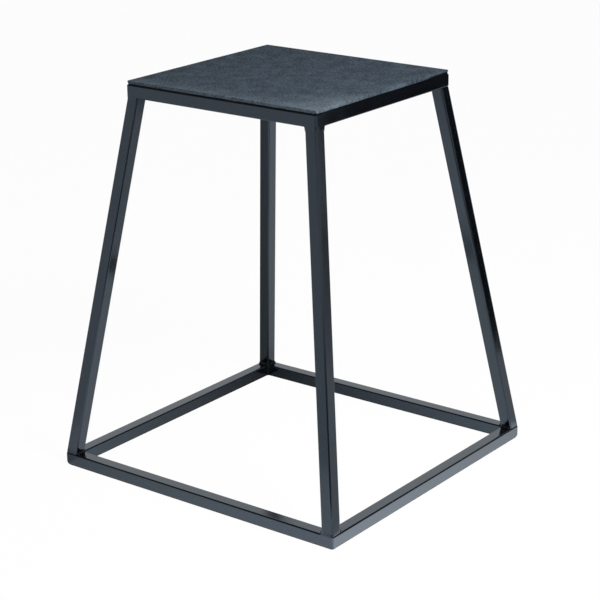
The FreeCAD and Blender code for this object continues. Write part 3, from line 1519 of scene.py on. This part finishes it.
@dataclass(frozen=True)
class Studio:
    """Floor, cove, lamps, cards, world and camera."""

    BLACK = 0.0

    rail: float
    cove_radius: float = 1.2
    cove_steps: int = 8
    floor_radius: float = 7.0
    wall_height: float = 9.0
    spin_steps: int = 96
    weld_distance: float = 0.1 * MM
    world_grey: float = 0.115
    mirrored_grey: float = 0.03
    azimuth: float = 36.405
    elevation: float = 18.886
    roll: float = 0.434
    target: Vector = Vector((0.12935, -0.00561, 0.344258))
    distance: float = 3.53026
    focal_pixels: float = 1857.69
    centre_offset_pixels: float = 45.0
    image_pixels: float = 600.0
    sensor: float = 36.0
    clip_end: float = 100.0
    under_level: float = 0.2 * MM
    card_level: float = 0.4 * MM
    contact_level: float = 0.6 * MM
    contact_gap: float = 0.8 * MM
    cloth_level: float = 45.0 * MM

    def profile(self) -> list[Vector]:
        """Trace the floor, the cove and the wall from the middle outwards.

        Returns:
            Points of the profile, as radius and height.
        """
        points = [Vector((0.0, 0.0)), Vector((self.floor_radius - self.cove_radius, 0.0))]
        centre = Vector((self.floor_radius - self.cove_radius, self.cove_radius))
        for step in range(1, self.cove_steps + 1):
            angle = math.radians(90) * step / self.cove_steps
            points.append(centre + Vector((math.sin(angle), -math.cos(angle))) * self.cove_radius)
        points.append(Vector((self.floor_radius, self.wall_height)))
        return points

    def backdrop(self) -> None:
        """Spin the floor, cove and wall about the middle of the box."""
        form = bmesh.new()
        verts = [form.verts.new((point.x, 0.0, point.y)) for point in self.profile()]
        edges = [form.edges.new(pair) for pair in zip(verts, verts[1:])]
        bmesh.ops.spin(form, geom=verts + edges, axis=UP, cent=(0, 0, 0), angle=math.tau,
                       steps=self.spin_steps, use_merge=True, use_duplicate=False)
        bmesh.ops.remove_doubles(form, verts=form.verts[:], dist=self.weld_distance)
        smooth_faces(form)
        name = "pale_floor_and_cove"
        add_stage(name, finished(form, name), BACKDROP.material())

    def world(self) -> None:
        """Set the dim room above the cove, which is darker still in reflections."""
        world = bpy.data.worlds.new("studio_room")
        world.use_nodes = True
        board = NodeBoard(world.node_tree)
        path = board.add("ShaderNodeLightPath")
        levels = (self.world_grey, self.mirrored_grey)
        strength = board.ranged(board.mirrored(path), (0.0, 1.0), levels)
        room = board.add("ShaderNodeBackground", {"Strength": strength, "Color": (1.0, 1.0, 1.0, 1.0)})
        board.add("ShaderNodeOutputWorld", {"Surface": room.outputs[0]})
        bpy.context.scene.world = world

    def camera(self) -> None:
        """Set the camera at the photograph's viewing angle."""
        azimuth, elevation = math.radians(self.azimuth), math.radians(self.elevation)
        level_share = math.cos(elevation)
        aside = math.sin(azimuth) * level_share
        forward = math.cos(azimuth) * level_share
        back = Vector((aside, -forward, math.sin(elevation)))
        data = bpy.data.cameras.new("photo_camera")
        data.sensor_width = self.sensor
        data.lens = self.focal_pixels / self.image_pixels * self.sensor
        data.shift_x = -self.centre_offset_pixels / self.image_pixels
        data.clip_end = self.clip_end
        camera = bpy.data.objects.new("photo_camera", data)
        facing = (-back).to_track_quat("-Z", "Y").to_matrix()
        rolled = facing @ Matrix.Rotation(-math.radians(self.roll), 3, "Z")
        camera.matrix_world = Matrix.Translation(self.target + back * self.distance) @ rolled.to_4x4()
        bpy.context.scene.collection.objects.link(camera)
        bpy.context.scene.camera = camera

    def lamps(self) -> list[Lamp]:
        """List the soft lamps.

        Returns:
            The lamps.
        """
        middle = Vector((0.1, -0.05, 0.2))
        return [
            Lamp("key_softbox", Vector((1.45, -0.45, 1.9)), middle, size=0.8, watts=60.0),
            Lamp("fill_softbox", Vector((-1.2, -2.2, 1.6)), middle, size=1.6, watts=10.0),
            Lamp("back_softbox", Vector((0.6, 2.2, 2.6)), middle, size=1.6, watts=6.5),
        ]

    def contact_cards(self) -> list[Card]:
        """List black cards that paint the base rails' contact shadow onto the floor under them.

        Returns:
            The cards.
        """
        low, high = CAD_BOX
        strips = {
            "front": (low.x, low.y, high.x, low.y + self.rail),
            "back": (low.x, high.y - self.rail, high.x, high.y),
            "left": (low.x, low.y, low.x + self.rail, high.y),
            "right": (high.x - self.rail, low.y, high.x, high.y),
        }
        cards = []
        for name, (left, front, right, back) in strips.items():
            left, right = left - self.contact_gap, right + self.contact_gap
            front, back = front - self.contact_gap, back + self.contact_gap
            corners = ((left, front), (right, front), (right, back), (left, back))
            # Each card is painted contact shadow, seen only in reflections.
            cards.append(Card.even(f"contact_{name}", self.contact_level, self.BLACK, *corners))
        return cards

    def upright_cards(self) -> list[Card]:
        """List the cards that stand, whose greys paint dark and pale reflections: black flags behind the
        box, and a dark skirting with a pale wall.

        Returns:
            The cards.
        """
        behind = 1.02
        flag = ((0.56, behind, 0.2), (0.85, behind, 0.012), (1.18, behind, 0.01), (1.18, behind, 1.2),
                (0.56, behind, 1.2))
        left, middle, right = (-0.8, -5.6), (1.5, -5.6), (5.7, 0.3)
        return [
            Card("black_flag_right", flag, [self.BLACK] * len(flag)),
            Card.upright("black_flag_high", (0.0, behind), (1.34, behind), (1.0, 3.2), self.BLACK),
            Card.upright("dark_skirting_front", left, middle, (0.0, 0.5), 0.02),
            Card.upright("dark_skirting_right", middle, right, (0.0, 0.55), 0.02),
            Card.upright("pale_wall_right", middle, right, (0.55, 2.4), 0.5),
        ]

    def floor_cards(self) -> list[Card]:
        """List the cards on the floor, which grade what the paint reflects of it: their greys paint the
        floor's light and shade, with pools of light beside the rails and the deck's shadow inside the base.

        Returns:
            The cards.
        """
        near, under = self.card_level, self.under_level
        return [
            Card.even("dark_cloth_before_box", self.cloth_level, 0.04, (0.45, -0.80), (0.05, -1.6),
                      (-0.2, -2.6), (2.2, -2.6), (2.2, 0.19), (0.95, -0.20), (0.62, -0.58)),
            Card.even("floor_under_cloth", under, 1.1, (0.45, -0.60), (0.4, -2.6), (2.2, -2.6),
                      (2.2, 0.19), (0.95, -0.20), (0.62, -0.40)),
            # Painted pools of light on the floor beside the right and front rails.
            Card.flat("white_strip_right", near, (0.3275, -0.36, 2.05), (0.378, -0.36, 2.05),
                      (0.43, 0.42, 1.32), (0.3275, 0.42, 1.32)),
            Card.flat("white_strip_front", near, (-0.36, -0.42, 0.6), (0.36, -0.42, 1.25),
                      (0.36, -0.3165, 1.25), (-0.36, -0.3165, 0.6)),
            Card.flat("floor_before_box", under, (-0.75, -0.95, 0.62), (0.4, -0.95, 0.95),
                      (0.4, -0.42, 0.95), (-0.5, -0.42, 0.75)),
            # Painted shadow of the deck: darkest at the back left corner inside the base.
            Card.flat("floor_inside", near, (-0.301, -0.29, 0.8), (0.301, -0.29, 0.6),
                      (0.301, 0.29, 0.87), (-0.301, 0.29, 0.12)),
            Card.flat("floor_left", near, (-1.6, -1.3, 0.3), (-0.75, -0.55, 0.33), (-0.3275, -0.40, 0.33),
                      (-0.3275, 0.6, 0.22), (-1.6, 0.6, 0.3)),
            Card.flat("floor_behind", near, (-0.45, 0.35, 0.6), (0.1, 0.45, 0.75), (0.75, 1.25, 0.85),
                      (0.75, 1.9, 0.85), (-0.2, 1.2, 0.8)),
            Card.flat("floor_far_right", near, (1.0, 1.6, 0.4), (2.2, 0.4, 0.4), (5.5, 3.0, 0.12),
                      (3.0, 5.5, 0.12)),
        ]

    def build(self) -> None:
        """Set up the studio."""
        self.backdrop()
        self.world()
        for lamp in self.lamps():
            lamp.build()
        grey = CARDS.material()
        for card in (*self.upright_cards(), *self.floor_cards(), *self.contact_cards()):
            card.build(grey)
        self.camera()
        bpy.context.scene.view_settings.view_transform = "Standard"


def main() -> None:
    """Build and dress the box, piece by piece, and set up the studio."""
    logging.basicConfig(level=logging.INFO, format="%(name)s %(message)s")
    sizes = BoxSizes.from_frame()
    section = TubeSection(sizes.tube)
    paint = FRAME_PAINT.material()
    ground = (Corner.FRONT_LEFT, Corner.BACK_RIGHT)
    MitredFrame("base", sizes.base, 0.0, section, round_below=ground).build(paint)
    MitredFrame("top", sizes.top, sizes.head_level, section).build(paint)
    legs = [Leg.at(corner, sizes, section) for corner in Corner]
    for leg in legs:
        leg.build(paint)
    Welds(sizes, legs, section).build(WELD_PAINT.material(), SMOOTH_WELD_PAINT.material())
    Deck().build(DECK_PAINT.material(), MAT_RUBBER.material())
    Studio(sizes.tube).build()


if __name__ == "__main__":
    main()
